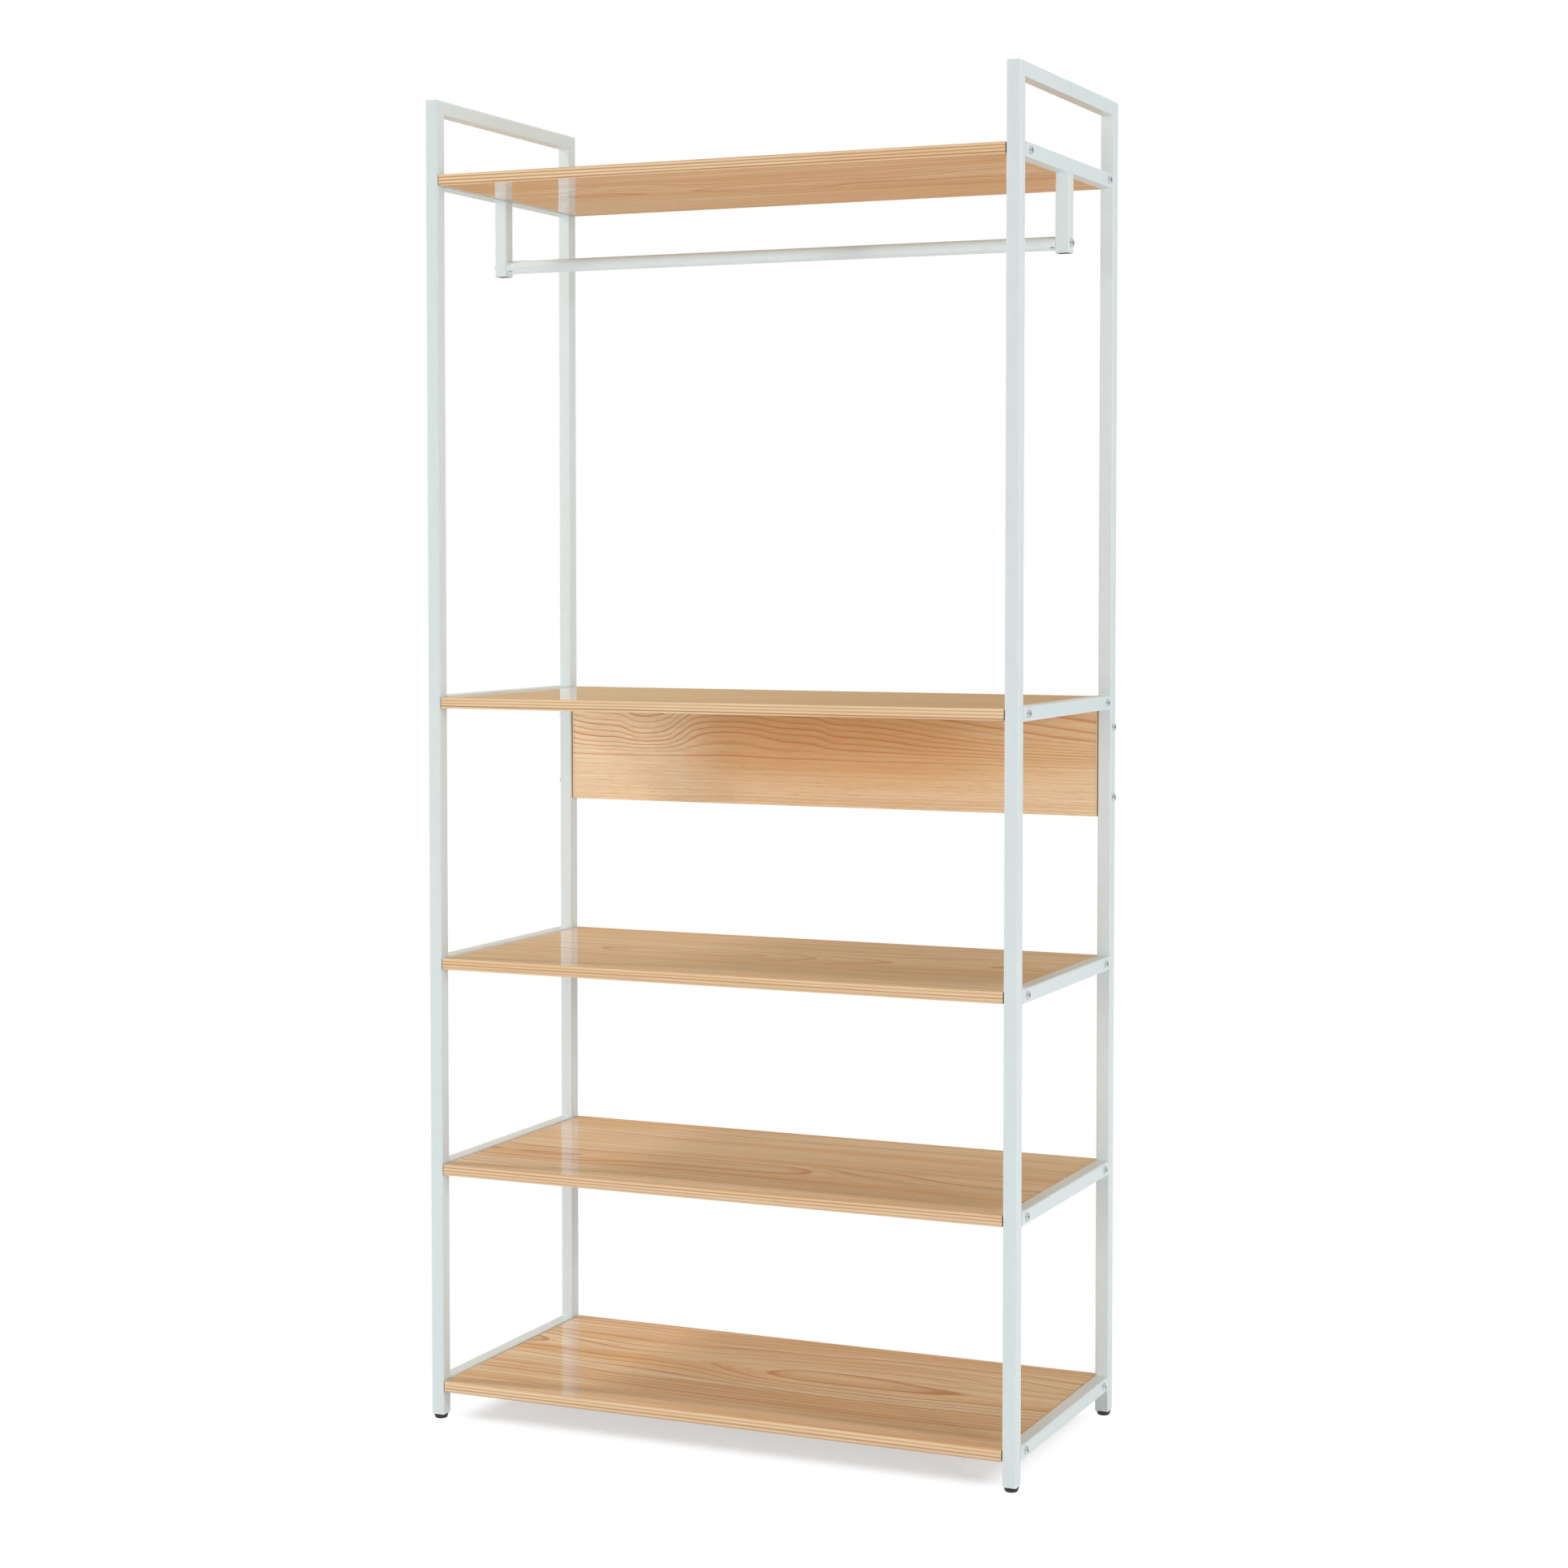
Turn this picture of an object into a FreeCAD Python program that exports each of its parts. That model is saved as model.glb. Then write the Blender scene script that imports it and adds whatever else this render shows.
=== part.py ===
import FreeCAD, Part
import Sketcher
import math
import os

# Open frame wardrobe. Two welded side frames of square tube carry five bolted shelves,
# a low back panel and a hanging rail, and stand on four screw-in feet.
# Millimetres, +Z up, front towards -Y, origin on the floor below the middle of the frame.

DIMENSIONS = [
    ("frame_width", 850, "over the outer faces of the two side frames"),
    ("frame_depth", 400, "over the front and rear faces of the uprights"),
    ("frame_height", 1800, "floor to the upper face of the top bars"),
    ("tube_size", 19, "side of the square tube"),
    ("tube_wall", 1.2, "wall of the square tube"),
    ("tube_round", 2, "outer corner radius of the square tube"),
    ("bottom_shelf_height", 46, "floor to the middle of the shelf and its crossbars"),
    ("lower_shelf_height", 346, "the same for the second shelf"),
    ("middle_shelf_height", 629, "the same for the third shelf"),
    ("upper_shelf_height", 986, "the same for the shelf above the back panel"),
    ("top_shelf_drop", 108, "upper face of the top bars to the middle of the top shelf"),
    ("board_thickness", 15, "shelves and back panel"),
    ("strip_thickness", 1.5, "edge strip round each board"),
    ("board_gap", 1, "board end to tube, set by the threaded insert that stands proud of the board"),
    ("bolt_inset", 38, "front or rear face of the frame to a shelf bolt"),
    ("panel_height", 149, "back panel, over its edge strips"),
    ("panel_gap", 0.5, "upper shelf to the top of the back panel"),
    ("panel_bolt_spacing", 96, "between the two bolts at one end of the back panel"),
    ("rail_drop", 100, "middle of the top shelf to the axis of the hanging rail"),
    ("rail_diameter", 18, "hanging rail"),
    ("rail_wall", 1.2, "wall of the hanging rail"),
    ("rail_slot_length", 6.5, "open slot in each end of the rail"),
    ("rail_slot_width", 1.6, "width of that slot"),
    ("rail_slot_tilt", 40, "degrees from straight forward down to the slot"),
    ("rail_plug_length", 14, "part of the rail's end plug inside the rail"),
    ("rail_plug_flange", 1.2, "rim of the plug between rail and drop post"),
    ("post_tail", 13, "drop post below the axis of the rail"),
    ("post_plug_length", 8, "plug in the lower end of a drop post"),
    ("bolt_diameter", 6, "all frame bolts"),
    ("bolt_length", 30, "below the head"),
    ("bolt_head_diameter", 11, "button head"),
    ("bolt_head_height", 3.2, "button head"),
    ("bolt_crown_diameter", 6.4, "flat on the button head"),
    ("socket_width", 4, "hexagon socket across its flats"),
    ("socket_depth", 2, "hexagon socket"),
    ("insert_diameter", 10, "threaded insert in a board end"),
    ("insert_length", 13, "threaded insert inside the board"),
    ("insert_relief", 2, "insert hole beyond the insert"),
    ("hole_clearance", 0.5, "bolt hole over the bolt"),
    ("fit_clearance", 0.1, "plugs and inserts on each side"),
    ("thread_clearance", 0.05, "threads and turning fits on each side"),
    ("pad_height", 7.7, "foot pad"),
    ("pad_top_diameter", 20, "foot pad below the tube"),
    ("pad_bottom_diameter", 17, "foot pad on the floor"),
    ("pad_chamfer", 1.2, "lower edge of the foot pad"),
    ("pad_floor", 2.5, "foot pad below the head of its stud"),
    ("foot_gap", 0.3, "foot pad to the end of the upright"),
    ("stud_diameter", 8, "threaded stud of the foot"),
    ("stud_length", 28, "stud over its head"),
    ("stud_head_diameter", 12, "head that turns in the foot pad"),
    ("stud_head_height", 2, "head that turns in the foot pad"),
    ("foot_insert_length", 20, "plug with a thread in the lower end of an upright"),
    ("overrun", 2, "how far a cut passes beyond the piece"),
]

SHELF_HEIGHTS = {
    "bottom": "dims.bottom_shelf_height",
    "lower": "dims.lower_shelf_height",
    "middle": "dims.middle_shelf_height",
    "upper": "dims.upper_shelf_height",
    "top": "(dims.frame_height - dims.top_shelf_drop)",
}
SIDES = {"left": -1, "right": 1}
DEPTHS = {"front": -1, "rear": 1}

X_AXIS = FreeCAD.Vector(1, 0, 0)
Y_AXIS = FreeCAD.Vector(0, 1, 0)
Z_AXIS = FreeCAD.Vector(0, 0, 1)
UPRIGHT = FreeCAD.Rotation()
ALONG_DEPTH = FreeCAD.Rotation(X_AXIS, -90)
STANDING_BOARD = FreeCAD.Rotation(X_AXIS, 90)
OUTWARD = {side: FreeCAD.Rotation(Y_AXIS, 90 * sign) for side, sign in SIDES.items()}

doc = FreeCAD.newDocument("open_frame_wardrobe")
sheet = doc.addObject("Spreadsheet::Sheet", "dims")
for row, (alias, value, note) in enumerate(DIMENSIONS, start=1):
    sheet.set(f"A{row}", note)
    sheet.set(f"B{row}", str(value))
    sheet.setAlias(f"B{row}", alias)
doc.recompute()

# Sizes worked out from the sheet, as expressions
TUBE_BORE = "(dims.tube_size - 2 * dims.tube_wall)"
TUBE_BASE = "(dims.pad_height + dims.foot_gap)"
UPRIGHT_LENGTH = f"(dims.frame_height - {TUBE_BASE})"
CROSSBAR_LENGTH = "(dims.frame_depth - 2 * dims.tube_size)"
TUBE_X = "((dims.frame_width - dims.tube_size) / 2)"
TUBE_Y = "((dims.frame_depth - dims.tube_size) / 2)"
BOARD_LENGTH = "(dims.frame_width - 2 * dims.tube_size - 2 * dims.board_gap)"
SHELF_BOLT_SPACING = "(dims.frame_depth - 2 * dims.bolt_inset)"
PANEL_TOP = "(dims.upper_shelf_height - dims.board_thickness / 2 - dims.panel_gap)"
PANEL_MIDDLE = f"({PANEL_TOP} - dims.panel_height / 2)"
POST_TOP = f"({SHELF_HEIGHTS['top']} - dims.tube_size / 2)"
RAIL_HEIGHT = f"({SHELF_HEIGHTS['top']} - dims.rail_drop)"
POST_BASE = f"({RAIL_HEIGHT} - dims.post_tail)"
RAIL_LENGTH = "(dims.frame_width - 2 * dims.tube_size - 2 * dims.rail_plug_flange)"
RAIL_BORE = "(dims.rail_diameter - 2 * dims.rail_wall)"
BOLT_HOLE = "(dims.bolt_diameter + dims.hole_clearance)"
THREAD_HOLE = "(dims.bolt_diameter + 2 * dims.thread_clearance)"
INSERT_HOLE = "(dims.insert_diameter + 2 * dims.fit_clearance)"
PLUG_SIZE = f"({TUBE_BORE} - 2 * dims.fit_clearance)"
STUD_BASE = "(dims.pad_floor + dims.thread_clearance)"


def signed(sign, expression):
    return expression if sign > 0 else f"-{expression}"


def bind(target, sizes):
    for name, expression in sizes.items():
        target.setExpression(name, expression)


def place(target, x, y, z, rotation=UPRIGHT):
    target.Placement = FreeCAD.Placement(FreeCAD.Vector(), rotation)
    bind(target, {"Placement.Base.x": x, "Placement.Base.y": y, "Placement.Base.z": z})


# Sketches

def new_body(label):
    body = doc.addObject("PartDesign::Body", label)
    body.Label = label
    return body


def new_sketch(body, plane, offset=None):
    sketch = body.newObject("Sketcher::SketchObject", "sketch")
    origin_plane = next(f for f in body.Origin.OriginFeatures if f.Role == plane)
    sketch.AttachmentSupport = [(origin_plane, "")]
    sketch.MapMode = "FlatFace"
    if offset:
        bind(sketch, {f"AttachmentOffset.Base.{axis}": size for axis, size in offset.items()})
    return sketch


def constrain(sketch, expression, *constraint):
    index = sketch.addConstraint(Sketcher.Constraint(*constraint))
    if expression:
        sketch.setExpression(f"Constraints[{index}]", expression)


def polygon(sketch, corners):
    first = sketch.GeometryCount
    points = [FreeCAD.Vector(x, y, 0) for x, y in corners]
    count = len(points)
    for index in range(count):
        sketch.addGeometry(Part.LineSegment(points[index], points[(index + 1) % count]))
    for index in range(count):
        constrain(sketch, None, "Coincident", first + index, 2, first + (index + 1) % count, 1)
    return first


def rectangle(sketch, width, height):
    # A rectangle centred on the sketch's origin
    first = polygon(sketch, [(-1, -1), (1, -1), (1, 1), (-1, 1)])
    for side in (0, 2):
        constrain(sketch, None, "Horizontal", first + side)
        constrain(sketch, None, "Vertical", first + side + 1)
    constrain(sketch, None, "Symmetric", first, 1, first + 2, 1, -1, 1)
    constrain(sketch, width, "DistanceX", first, 1, first, 2, 2)
    constrain(sketch, height, "DistanceY", first + 1, 1, first + 1, 2, 2)


def corner_triangle(sketch, across, along, leg):
    # Half of a square about the sketch's origin: the half at the corner (across, along)
    first = polygon(sketch, [(-across, along), (across, along), (across, -along)])
    constrain(sketch, None, "Horizontal", first)
    constrain(sketch, None, "Vertical", first + 1)
    constrain(sketch, None, "Equal", first, first + 1)
    constrain(sketch, None, "Symmetric", first, 1, first + 1, 2, -1, 1)
    ends = (1, 2) if across > 0 else (2, 1)
    constrain(sketch, leg, "DistanceX", first, ends[0], first, ends[1], 2)


def circle(sketch, diameter, height=None):
    # A circle on the sketch's origin, or at a height on its vertical axis
    index = sketch.addGeometry(Part.Circle(FreeCAD.Vector(0, 1 if height else 0, 0), Z_AXIS, 1))
    constrain(sketch, diameter, "Diameter", index, 2)
    if height:
        constrain(sketch, None, "PointOnObject", index, 3, -2)
        constrain(sketch, height, "DistanceY", -1, 1, index, 3, 1)
    else:
        constrain(sketch, None, "Coincident", index, 3, -1, 1)


def circle_pair(sketch, diameter, spacing):
    # Two circles on the sketch's horizontal axis, either side of its origin
    pair = [sketch.addGeometry(Part.Circle(FreeCAD.Vector(x, 0, 0), Z_AXIS, 1)) for x in (-1, 1)]
    for index in pair:
        constrain(sketch, diameter, "Diameter", index, 2)
    constrain(sketch, None, "PointOnObject", pair[0], 3, -1)
    constrain(sketch, None, "Symmetric", pair[0], 3, pair[1], 3, -1, 1)
    constrain(sketch, spacing, "DistanceX", pair[0], 3, pair[1], 3, 2)


# Features

def pad(body, sketch, length, centred=False):
    feature = body.newObject("PartDesign::Pad", "pad")
    feature.Profile = sketch
    feature.SideType = "Symmetric" if centred else "One side"
    bind(feature, {"Length": length})
    doc.recompute()
    return feature


def cut_through(body, sketch):
    feature = body.newObject("PartDesign::Pocket", "through_cut")
    feature.Profile = sketch
    feature.SideType = "Symmetric"
    feature.Type = "ThroughAll"
    return feature


def cut_from(body, sketch, depth, towards_plus):
    feature = body.newObject("PartDesign::Pocket", "blind_cut")
    feature.Profile = sketch
    feature.Reversed = towards_plus
    bind(feature, {"Length": depth})
    return feature


def fillet(body, wanted, radius):
    # A fillet on the wanted edges of the body so far
    base = body.Tip
    edges = enumerate(base.Shape.Edges, start=1)
    feature = body.newObject("PartDesign::Fillet", "fillet")
    feature.Base = (base, [f"Edge{number}" for number, edge in edges if wanted(edge)])
    bind(feature, {"Radius": radius})
    doc.recompute()


def cylinder(body, kind, diameter, height, z):
    feature = body.newObject(f"PartDesign::{kind}Cylinder", "cylinder")
    bind(feature, {"Radius": f"{diameter} / 2", "Height": height, "Placement.Base.z": z})
    doc.recompute()


def cone(body, lower_diameter, upper_diameter, height, z):
    feature = body.newObject("PartDesign::AdditiveCone", "cone")
    bind(feature, {"Radius1": f"{lower_diameter} / 2", "Radius2": f"{upper_diameter} / 2"})
    bind(feature, {"Height": height, "Placement.Base.z": z})
    doc.recompute()


# Square tubes, drawn standing on their lower end and centred on their axis

def square_tube(label, length):
    body = new_body(label)
    profile = new_sketch(body, "XY_Plane")
    rectangle(profile, "dims.tube_size", "dims.tube_size")
    rectangle(profile, TUBE_BORE, TUBE_BORE)
    pad(body, profile, length)
    between_walls = (sheet.tube_size - sheet.tube_wall) / 2

    def outer_corner(edge):
        return edge.BoundBox.ZLength > sheet.tube_size and abs(edge.CenterOfMass.x) > between_walls

    fillet(body, outer_corner, "dims.tube_round")
    return body


def mitre(body, across, along, height):
    sketch = new_sketch(body, "YZ_Plane", {"y": height})
    corner_triangle(sketch, across, along, "dims.tube_size + 2 * dims.overrun")
    cut_through(body, sketch)


def drill(body, heights):
    sketch = new_sketch(body, "YZ_Plane")
    for height in heights:
        circle(sketch, BOLT_HOLE, height)
    cut_through(body, sketch)


def upright(side, depth):
    label = f"{side}_{depth}_upright"
    body = square_tube(label, UPRIGHT_LENGTH)
    mitre(body, -DEPTHS[depth], 1, f"{UPRIGHT_LENGTH} - dims.tube_size / 2")
    if depth == "rear":
        reach = "dims.panel_bolt_spacing / 2"
        drill(body, [f"{PANEL_MIDDLE} - {TUBE_BASE} {sign} {reach}" for sign in "-+"])
    place(body, signed(SIDES[side], TUBE_X), signed(DEPTHS[depth], TUBE_Y), TUBE_BASE)
    return body


def top_bar(side):
    body = square_tube(f"{side}_top_bar", "dims.frame_depth")
    mitre(body, 1, -1, "dims.tube_size / 2")
    mitre(body, 1, 1, "dims.frame_depth - dims.tube_size / 2")
    height = "dims.frame_height - dims.tube_size / 2"
    place(body, signed(SIDES[side], TUBE_X), "-dims.frame_depth / 2", height, ALONG_DEPTH)
    return body


def crossbar(side, shelf, height):
    body = square_tube(f"{side}_{shelf}_crossbar", CROSSBAR_LENGTH)
    first = "dims.bolt_inset - dims.tube_size"
    drill(body, [first, f"{CROSSBAR_LENGTH} - ({first})"])
    start = f"-{CROSSBAR_LENGTH} / 2"
    place(body, signed(SIDES[side], TUBE_X), start, height, ALONG_DEPTH)
    return body


def drop_post(side):
    body = square_tube(f"{side}_drop_post", f"{POST_TOP} - {POST_BASE}")
    drill(body, ["dims.post_tail"])
    place(body, signed(SIDES[side], TUBE_X), "0", POST_BASE)
    return body


# Boards, drawn lying flat and centred, with their length along X

def board(label, width, bolt_spacing):
    body = new_body(label)
    core_length = f"({BOARD_LENGTH} - 2 * dims.strip_thickness)"
    outline = new_sketch(body, "XY_Plane")
    rectangle(outline, core_length, f"{width} - 2 * dims.strip_thickness")
    pad(body, outline, "dims.board_thickness", centred=True)
    depth = "dims.insert_length + dims.insert_relief - dims.strip_thickness"
    for sign in SIDES.values():
        end = new_sketch(body, "YZ_Plane", {"z": signed(sign, f"{core_length} / 2")})
        circle_pair(end, INSERT_HOLE, bolt_spacing)
        cut_from(body, end, depth, towards_plus=sign < 0)
    return body


def box(name, length, width, x, y):
    feature = doc.addObject("Part::Box", name)
    bind(feature, {"Length": length, "Width": width, "Height": "dims.board_thickness"})
    place(feature, x, y, "-dims.board_thickness / 2")
    return feature


def edge_strips(label, width, bolt_spacing):
    # Long strips between two end strips, which are drilled for the threaded inserts
    strip = "dims.strip_thickness"
    pieces = []
    for sign in DEPTHS.values():
        y = f"{signed(sign, f'({width} - {strip})')} / 2 - {strip} / 2"
        long_length = f"{BOARD_LENGTH} - 2 * {strip}"
        pieces.append(box("long_strip", long_length, strip, f"-({long_length}) / 2", y))
    bores = []
    for sign in DEPTHS.values():
        bore = doc.addObject("Part::Cylinder", "insert_bore")
        bind(bore, {"Radius": f"{INSERT_HOLE} / 2", "Height": f"{BOARD_LENGTH} + 2 * dims.overrun"})
        start = f"-{BOARD_LENGTH} / 2 - dims.overrun"
        place(bore, start, f"{signed(sign, bolt_spacing)} / 2", "0", OUTWARD["right"])
        bores.append(bore)
    drill_pair = doc.addObject("Part::Compound", "drill_pair")
    drill_pair.Links = bores
    for sign in SIDES.values():
        x = f"{signed(sign, f'({BOARD_LENGTH} - {strip})')} / 2 - {strip} / 2"
        drilled = doc.addObject("Part::Cut", "end_strip")
        drilled.Base = box("plain_end_strip", strip, width, x, f"-{width} / 2")
        drilled.Tool = drill_pair
        pieces.append(drilled)
    group = doc.addObject("Part::Compound", label)
    group.Label = label
    group.Links = pieces
    return group


# Fasteners, drawn along Z with their seat at the origin, and repeated by links

def button_bolt():
    body = new_body("button_bolt")
    cylinder(body, "Additive", "dims.bolt_diameter", "dims.bolt_length", "-dims.bolt_length")
    cone(body, "dims.bolt_head_diameter", "dims.bolt_crown_diameter", "dims.bolt_head_height", "0")
    socket = body.newObject("PartDesign::SubtractivePrism", "hexagon_socket")
    socket.Polygon = 6
    bind(socket, {
        "Circumradius": "dims.socket_width / sqrt(3)",
        "Height": "dims.socket_depth + dims.overrun",
        "Placement.Base.z": "dims.bolt_head_height - dims.socket_depth",
    })
    return body


def threaded_insert():
    body = new_body("threaded_insert")
    length = "dims.insert_length + dims.board_gap"
    cylinder(body, "Additive", "dims.insert_diameter", length, f"-({length})")
    bore_length = f"{length} + 2 * dims.overrun"
    cylinder(body, "Subtractive", THREAD_HOLE, bore_length, f"-({length} + dims.overrun)")
    return body


def rail_end_plug():
    body = new_body("rail_end_plug")
    flange = "dims.rail_plug_flange"
    cylinder(body, "Additive", "dims.rail_diameter", flange, f"-{flange}")
    length = f"dims.rail_plug_length + {flange}"
    spigot = f"({RAIL_BORE} - 2 * dims.fit_clearance)"
    cylinder(body, "Additive", spigot, length, f"-({length})")
    bore_length = f"{length} + 2 * dims.overrun"
    cylinder(body, "Subtractive", THREAD_HOLE, bore_length, f"-({length} + dims.overrun)")
    slot = new_sketch(body, "YZ_Plane", {"y": f"-({flange} + dims.rail_slot_length / 2)"})
    rectangle(slot, "dims.rail_slot_width", "dims.rail_slot_length")
    cut_from(body, slot, RAIL_BORE, towards_plus=True)
    return body


def group_of_links(label, piece, places):
    links = []
    for x, y, z, rotation in places:
        link = doc.addObject("App::Link", f"{piece.Label}_copy")
        link.LinkedObject = piece
        place(link, x, y, z, rotation)
        links.append(link)
    group = doc.addObject("Part::Compound", label)
    group.Label = label
    group.Links = links
    return group


def both_sides(x, pairs, rotations=OUTWARD):
    return [
        (signed(sign, x), y, z, rotations[side])
        for side, sign in SIDES.items()
        for y, z in pairs
    ]


# Hanging rail, drawn along Z with the slots towards +X

def slot_rotation(outward):
    # Z turns outward along the rail, and X turns to the front and down to the slot
    tilt = math.radians(sheet.rail_slot_tilt)
    towards_slot = FreeCAD.Vector(0, -math.cos(tilt), -math.sin(tilt))
    return FreeCAD.Rotation(towards_slot, outward.cross(towards_slot), outward, "ZXY")


def hanging_rail():
    body = new_body("hanging_rail")
    profile = new_sketch(body, "XY_Plane")
    circle(profile, "dims.rail_diameter")
    circle(profile, RAIL_BORE)
    pad(body, profile, RAIL_LENGTH)
    for end in ("0", RAIL_LENGTH):
        slot = new_sketch(body, "YZ_Plane", {"y": end})
        rectangle(slot, "dims.rail_slot_width", "2 * dims.rail_slot_length")
        cut_from(body, slot, "dims.rail_diameter", towards_plus=True)
    place(body, f"-{RAIL_LENGTH} / 2", "0", RAIL_HEIGHT, slot_rotation(X_AXIS))
    return body


# Square plugs in the open tube ends, and the screw feet

def square_plug(label, length, x, y, z, bore=None):
    body = new_body(label)
    profile = new_sketch(body, "XY_Plane")
    rectangle(profile, PLUG_SIZE, PLUG_SIZE)
    pad(body, profile, length)
    if bore:
        cylinder(body, "Subtractive", bore, f"{length} + 2 * dims.overrun", "-dims.overrun")
    place(body, x, y, z)
    return body


def foot_stud(label, x, y):
    body = new_body(label)
    cylinder(body, "Additive", "dims.stud_head_diameter", "dims.stud_head_height", "0")
    cylinder(body, "Additive", "dims.stud_diameter", "dims.stud_length", "0")
    place(body, x, y, STUD_BASE)
    return body


def foot_pad(label, x, y):
    body = new_body(label)
    chamfer = "dims.pad_chamfer"
    base = "dims.pad_bottom_diameter"
    cone(body, f"({base} - 2 * {chamfer})", base, chamfer, "0")
    cone(body, base, "dims.pad_top_diameter", f"dims.pad_height - {chamfer}", chamfer)
    room = "2 * dims.thread_clearance"
    cavity_height = f"dims.stud_head_height + {room}"
    cavity = f"(dims.stud_head_diameter + {room})"
    cylinder(body, "Subtractive", cavity, cavity_height, "dims.pad_floor")
    cylinder(body, "Subtractive", f"(dims.stud_diameter + {room})", "dims.pad_height", "dims.pad_floor")
    place(body, x, y, "0")
    return body


nodes = []

for side in SIDES:
    nodes += [upright(side, depth) for depth in DEPTHS]
    nodes.append(top_bar(side))
    nodes += [crossbar(side, shelf, height) for shelf, height in SHELF_HEIGHTS.items()]
    nodes.append(drop_post(side))

bolt = button_bolt()
insert = threaded_insert()
outer_face = "dims.frame_width / 2"
inner_face = "(dims.frame_width / 2 - dims.tube_size)"

for shelf, height in SHELF_HEIGHTS.items():
    shelf_board = board(f"{shelf}_shelf", "dims.frame_depth", SHELF_BOLT_SPACING)
    strips = edge_strips(f"{shelf}_shelf_strips", "dims.frame_depth", SHELF_BOLT_SPACING)
    for piece in (shelf_board, strips):
        place(piece, "0", "0", height)
        nodes.append(piece)
    rows = [(f"{signed(sign, SHELF_BOLT_SPACING)} / 2", height) for sign in DEPTHS.values()]
    nodes.append(group_of_links(f"{shelf}_shelf_bolts", bolt, both_sides(outer_face, rows)))
    nodes.append(group_of_links(f"{shelf}_shelf_inserts", insert, both_sides(inner_face, rows)))

panel_board = board("back_panel", "dims.panel_height", "dims.panel_bolt_spacing")
panel_strips = edge_strips("back_panel_strips", "dims.panel_height", "dims.panel_bolt_spacing")
for piece in (panel_board, panel_strips):
    place(piece, "0", TUBE_Y, PANEL_MIDDLE, STANDING_BOARD)
    nodes.append(piece)
rows = [(TUBE_Y, f"{PANEL_MIDDLE} {sign} dims.panel_bolt_spacing / 2") for sign in "-+"]
nodes.append(group_of_links("back_panel_bolts", bolt, both_sides(outer_face, rows)))
nodes.append(group_of_links("back_panel_inserts", insert, both_sides(inner_face, rows)))

rail_end = rail_end_plug()
rail_axis = [("0", RAIL_HEIGHT)]
turned = {side: slot_rotation(X_AXIS * sign) for side, sign in SIDES.items()}
nodes.append(hanging_rail())
nodes.append(group_of_links("rail_end_plugs", rail_end, both_sides(inner_face, rail_axis, turned)))
nodes.append(group_of_links("rail_bolts", bolt, both_sides(outer_face, rail_axis)))

for side, side_sign in SIDES.items():
    x = signed(side_sign, TUBE_X)
    nodes.append(square_plug(f"{side}_post_plug", "dims.post_plug_length", x, "0", POST_BASE))
    for depth, depth_sign in DEPTHS.items():
        corner = f"{side}_{depth}"
        y = signed(depth_sign, TUBE_Y)
        stud_hole = "(dims.stud_diameter + 2 * dims.thread_clearance)"
        length = "dims.foot_insert_length"
        nodes.append(square_plug(f"{corner}_foot_insert", length, x, y, TUBE_BASE, stud_hole))
        nodes.append(foot_stud(f"{corner}_foot_stud", x, y))
        nodes.append(foot_pad(f"{corner}_foot_pad", x, y))

doc.recompute()

failed = [item.Label for item in doc.Objects if {"Invalid", "Error"} & set(item.State)]
failed += [node.Label for node in nodes if node.Shape.isNull() or not node.Shape.isValid()]
if failed:
    raise RuntimeError("not built: " + ", ".join(sorted(set(failed))))

os.makedirs("parts", exist_ok=True)
for node in nodes:
    node.Shape.exportStep(f"parts/{node.Label}.step")
    print(node.Label, len(node.Shape.Solids), "solids", round(node.Shape.Volume), "mm3")
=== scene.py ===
import math

import bmesh
import bpy
from mathutils import Matrix, Vector


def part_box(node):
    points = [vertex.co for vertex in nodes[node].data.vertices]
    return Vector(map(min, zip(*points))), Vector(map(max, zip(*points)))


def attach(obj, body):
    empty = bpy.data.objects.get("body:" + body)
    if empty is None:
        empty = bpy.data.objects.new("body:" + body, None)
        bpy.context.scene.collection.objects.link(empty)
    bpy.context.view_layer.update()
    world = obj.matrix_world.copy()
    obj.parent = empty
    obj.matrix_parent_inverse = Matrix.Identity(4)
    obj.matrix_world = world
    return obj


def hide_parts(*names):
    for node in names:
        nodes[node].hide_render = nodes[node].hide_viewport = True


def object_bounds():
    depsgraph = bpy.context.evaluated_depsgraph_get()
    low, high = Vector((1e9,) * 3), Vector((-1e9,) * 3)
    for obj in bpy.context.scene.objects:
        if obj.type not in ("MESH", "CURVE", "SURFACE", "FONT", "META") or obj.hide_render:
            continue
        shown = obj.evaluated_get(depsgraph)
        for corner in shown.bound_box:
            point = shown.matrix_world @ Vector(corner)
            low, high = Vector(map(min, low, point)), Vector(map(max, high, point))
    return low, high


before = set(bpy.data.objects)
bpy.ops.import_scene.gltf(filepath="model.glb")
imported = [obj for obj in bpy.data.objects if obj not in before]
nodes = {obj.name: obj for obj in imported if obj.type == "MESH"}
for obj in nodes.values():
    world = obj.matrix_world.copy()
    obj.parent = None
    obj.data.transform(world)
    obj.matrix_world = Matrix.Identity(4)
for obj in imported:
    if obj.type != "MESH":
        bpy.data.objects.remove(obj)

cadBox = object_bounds()

sides = ("left", "right")
depths = ("front", "rear")
shelves = ("bottom", "lower", "middle", "upper", "top")
corners = [f"{side}_{depth}" for side in sides for depth in depths]
boards = [f"{shelf}_shelf" for shelf in shelves] + ["back_panel"]


# small helpers for node trees

def srgb(red, green, blue):
    def linear(level):
        share = level / 255
        return share / 12.92 if share <= 0.04045 else ((share + 0.055) / 1.055) ** 2.4
    return linear(red), linear(green), linear(blue), 1.0


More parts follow.
